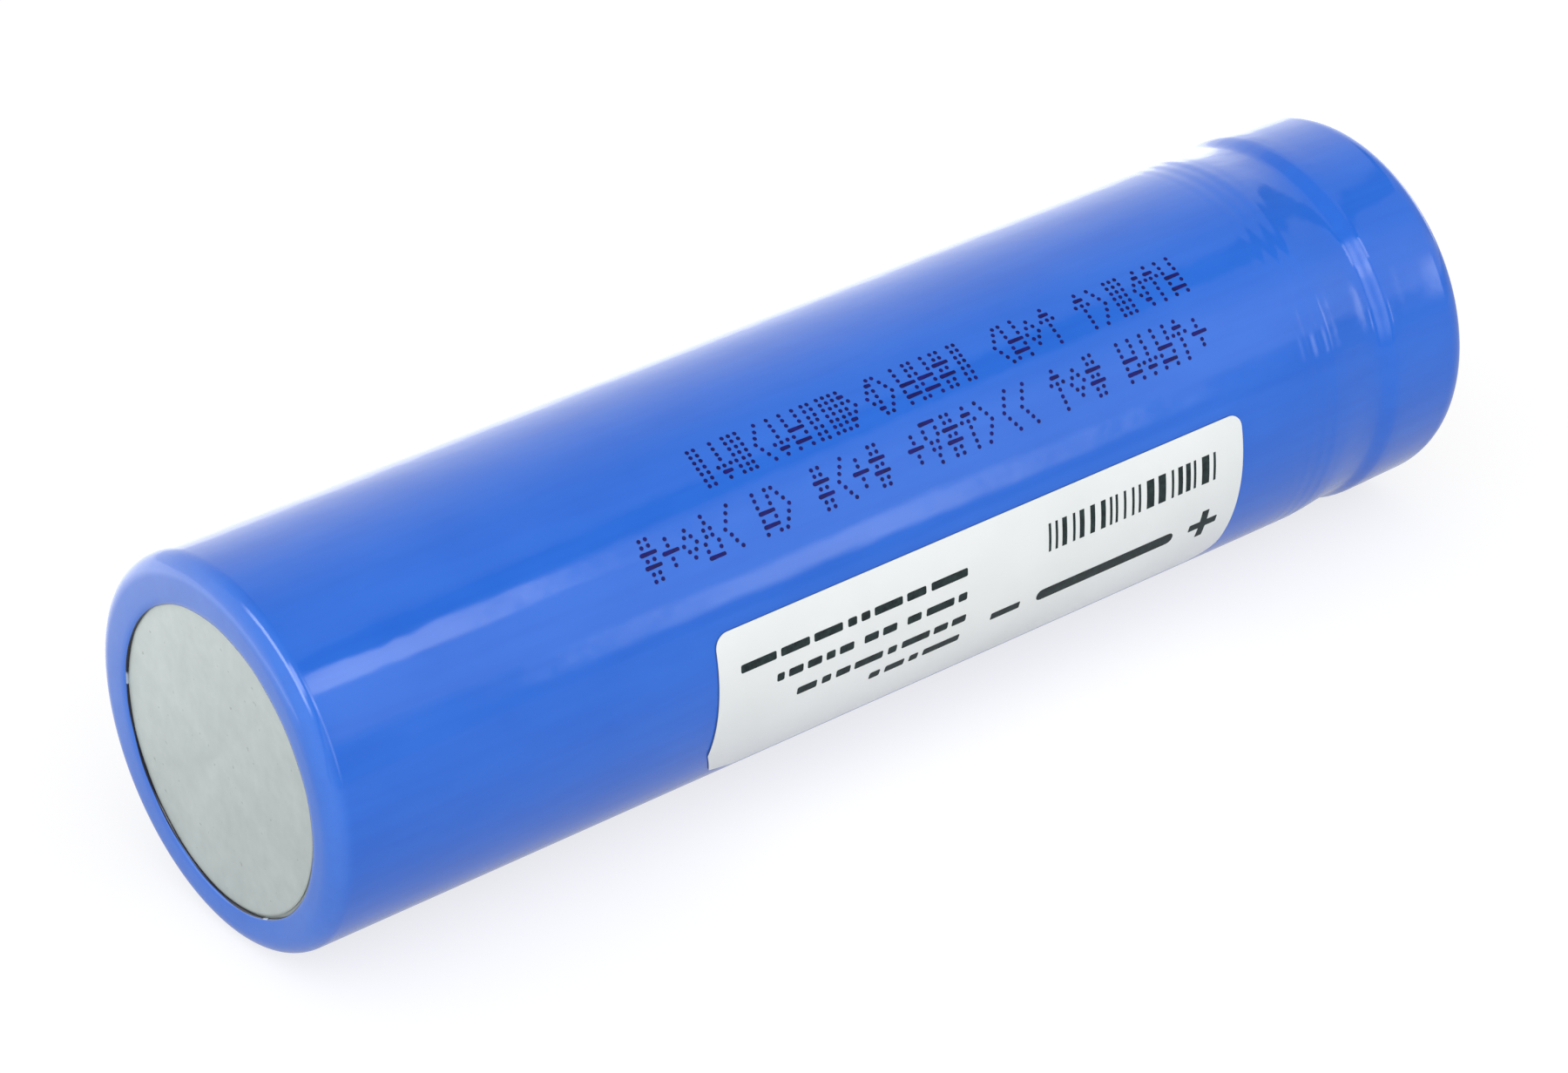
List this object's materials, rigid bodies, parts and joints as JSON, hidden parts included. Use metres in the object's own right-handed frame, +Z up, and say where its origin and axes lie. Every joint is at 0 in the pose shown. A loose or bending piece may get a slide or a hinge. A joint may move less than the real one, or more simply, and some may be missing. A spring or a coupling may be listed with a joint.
{
  "type": "cylindrical battery cell",
  "caption": "Cylindrical lithium-ion cell in a blue shrink sleeve with a sticker, flat steel terminals, a rolled bead and a wound electrode roll inside.",
  "frame": {"origin": "centre of the negative terminal's flat face, on the cell's axis", "axes": "+X along the cell from the negative to the positive end, +Z up with the cell lying on its side"},
  "size_m": [0.0653, 0.0183, 0.0183],
  "materials": {
    "sleeve_film": "glossy blue shrink film",
    "sticker_paper": "white satin sticker paper",
    "washer_fibre": "white fibre washer",
    "can_steel": "matt nickel plate on drawn steel",
    "gasket_plastic": "black moulded polypropylene",
    "cap_steel": "bright nickel plate on pressed steel",
    "ptc_polymer": "carbon-filled polymer with nickel faces",
    "soft_aluminium": "soft rolled aluminium",
    "amber_tape": "amber polyimide tape",
    "insulator_board": "green fibre-filled insulator",
    "separator_film": "white microporous film",
    "cathode_coating": "black oxide coating on aluminium foil",
    "anode_coating": "dark grey graphite coating on copper foil",
    "closing_film": "green closing tape",
    "core_steel": "rolled stainless strip",
    "tab_nickel": "rolled nickel strip"
  },
  "bodies": {
    "root": {"shrink_sleeve": "sleeve_film", "paper_label": "sticker_paper", "insulating_washer": "washer_fibre", "steel_can": "can_steel", "crimp_gasket": "gasket_plastic", "top_cap": "cap_steel", "ptc_ring": "ptc_polymer", "burst_disc": "soft_aluminium", "vent_spacer": "gasket_plastic", "perforated_plate": "soft_aluminium", "positive_tab": "soft_aluminium", "positive_tab_tape": "amber_tape", "upper_insulator": "insulator_board", "separator_inner": "separator_film", "cathode_sheet": "cathode_coating", "separator_outer": "separator_film", "anode_sheet": "anode_coating", "closing_tape": "closing_film", "core_tube": "core_steel", "lower_insulator": "insulator_board", "negative_tab": "tab_nickel", "negative_tab_tape": "amber_tape"}
  },
  "joints": []
}
